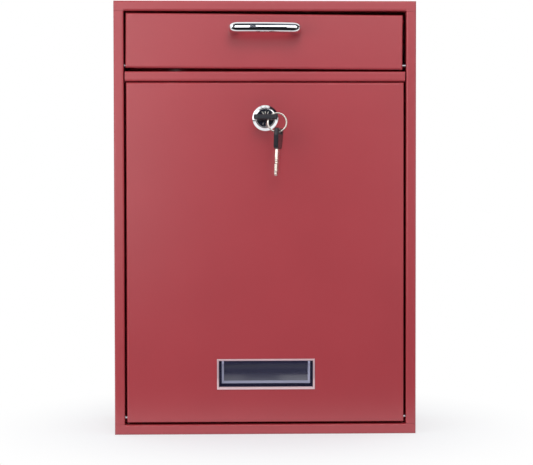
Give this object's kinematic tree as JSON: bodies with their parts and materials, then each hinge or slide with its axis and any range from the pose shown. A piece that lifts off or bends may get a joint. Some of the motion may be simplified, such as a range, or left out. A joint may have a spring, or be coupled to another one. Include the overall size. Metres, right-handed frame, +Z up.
{
  "type": "wall drop box",
  "caption": "Wall-mounted sheet steel drop box: tilting deposit hopper with a bow handle above a bottom-hinged collection door with cam lock, keys and clear window.",
  "frame": {"origin": "centre of the cabinet's footprint, on its bottom face", "axes": "+Z up, +Y towards the wall behind the box, front face towards -Y, +X to the right seen from the front"},
  "size_m": [0.285, 0.1529, 0.409],
  "materials": {
    "red_powder_coat": "satin",
    "chrome_plate": "polished",
    "zinc_steel": "satin",
    "black_plastic": "satin",
    "clear_plastic": "gloss"
  },
  "bodies": {
    "cabinet": {"cabinet_wrap": "red_powder_coat", "top_panel": "red_powder_coat", "bottom_panel": "red_powder_coat", "cross_rail": "red_powder_coat"},
    "hopper": {"hopper_front": "red_powder_coat", "hopper_shelf": "red_powder_coat", "hopper_pin_left": "zinc_steel", "hopper_pin_right": "zinc_steel", "cheek_rivet": "chrome_plate", "pull_handle": "chrome_plate", "handle_screw_left": "zinc_steel", "handle_screw_right": "zinc_steel"},
    "door": {"door_panel": "red_powder_coat", "door_pin_left": "zinc_steel", "door_pin_right": "zinc_steel", "window_lens": "clear_plastic", "lock_housing": "chrome_plate", "lock_washer": "zinc_steel", "lock_nut": "zinc_steel"},
    "plug": {"lock_plug": "chrome_plate", "lock_cam": "zinc_steel", "cam_washer": "zinc_steel", "cam_screw": "zinc_steel", "key_blade": "zinc_steel", "key_head": "black_plastic"},
    "keys": {"key_ring": "chrome_plate", "spare_key_blade": "zinc_steel", "spare_key_head": "black_plastic"}
  },
  "joints": [
    {"name": "hopper_tilt", "type": "hinge", "parent": "cabinet", "child": "hopper", "pos_m": [0, -0.0558, 0.3484], "axis": [1, 0, 0], "range_deg": [0, 38]},
    {"name": "door_swing", "type": "hinge", "parent": "cabinet", "child": "door", "pos_m": [0, -0.055, 0.0161], "axis": [1, 0, 0], "range_deg": [0, 84]},
    {"name": "lock_turn", "type": "hinge", "parent": "door", "child": "plug", "pos_m": [0, -0.06, 0.2988], "axis": [0, 1, 0], "range_deg": [0, 90]},
    {"name": "ring_swing", "type": "hinge", "parent": "plug", "child": "keys", "pos_m": [0.009, -0.0819, 0.2988], "axis": [0, 1, 0], "range_deg": [-95, 10]}
  ]
}
